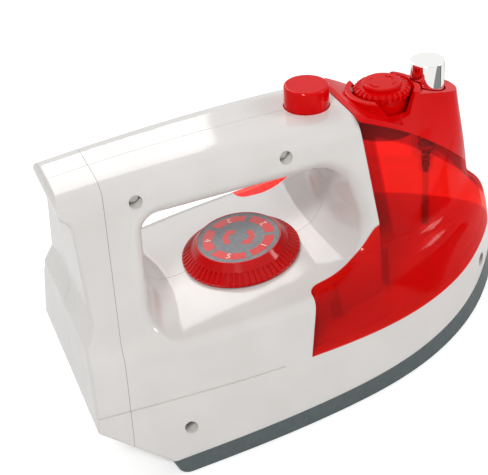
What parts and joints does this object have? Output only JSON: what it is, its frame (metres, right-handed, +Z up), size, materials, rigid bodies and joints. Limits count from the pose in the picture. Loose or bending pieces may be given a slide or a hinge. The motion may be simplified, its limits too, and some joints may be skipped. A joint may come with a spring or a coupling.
{
  "type": "toy iron",
  "caption": "Pretend-play clothes iron with a closed handle, clear red water tank, ribbed dial, screw cap, sprung spray pump and sprung thumb button.",
  "frame": {"origin": "on the ground under the middle of the bounding box, where the soleplate's flat face rests", "axes": "+X forward to the pointed nose, +Z up, +Y to the iron's left; the housing is parted on the plane Y = 0"},
  "size_m": [0.1663, 0.0974, 0.0991],
  "materials": {
    "white_plastic": "glossy",
    "red_plastic": "glossy",
    "tank_plastic": "clear, tinted",
    "grey_plastic": "satin",
    "label_print": "satin",
    "clear_plastic": "satin",
    "chrome": "mirror",
    "steel": "plain",
    "rubber": "matt"
  },
  "bodies": {
    "housing": {"right_shell": "white_plastic", "left_shell": "white_plastic", "rear_cover_right": "white_plastic", "rear_cover_left": "white_plastic", "soleplate": "grey_plastic", "water_tank": "tank_plastic", "tank_hood": "red_plastic", "pump_cylinder": "clear_plastic", "pump_spring": "steel", "pump_valve_ball": "steel", "dip_tube": "clear_plastic", "outlet_tube": "clear_plastic", "spray_nozzle": "red_plastic", "steam_button_seat": "white_plastic", "steam_button_spring": "steel", "shell_screws": "steel", "sole_screws": "steel"},
    "dial": {"temperature_dial": "red_plastic", "dial_label": "label_print", "dial_spring_washer": "steel", "dial_washer": "steel", "dial_screw": "steel"},
    "cap_lifter": {"filler_gasket": "rubber"},
    "cap": {"filler_cap": "red_plastic"},
    "spray": {"spray_button": "chrome", "pump_piston": "clear_plastic"},
    "thumb": {"steam_button": "red_plastic"}
  },
  "joints": [
    {"name": "dial_turn", "type": "hinge", "parent": "housing", "child": "dial", "pos_m": [-0.01305, 0, 0.0424], "axis": [0.0649, 0, 0.9979], "continuous": true},
    {"name": "cap_lift", "type": "slide", "parent": "housing", "child": "cap_lifter", "axis": [0.1386, 0, 0.9903], "range_m": [0, 0.003]},
    {"name": "cap_turn", "type": "hinge", "parent": "cap_lifter", "child": "cap", "pos_m": [0.04955, 0, 0.0852], "axis": [0.1386, 0, 0.9903], "range_deg": [0, 720]},
    {"name": "spray_press", "type": "slide", "parent": "housing", "child": "spray", "axis": [0.1386, 0, 0.9903], "range_m": [-0.005, 0], "stiffness_N_per_m": 200, "springref_m": 0.003, "deforming": ["pump_spring"]},
    {"name": "steam_press", "type": "slide", "parent": "housing", "child": "thumb", "axis": [0.177, 0, 0.9842], "range_m": [-0.003, 0], "stiffness_N_per_m": 200, "springref_m": 0.003, "deforming": ["steam_button_spring"]}
  ],
  "couplings": [
    {"joint": "cap_lift", "follows": "cap_turn", "m_per_rad": 0.00023873}
  ]
}
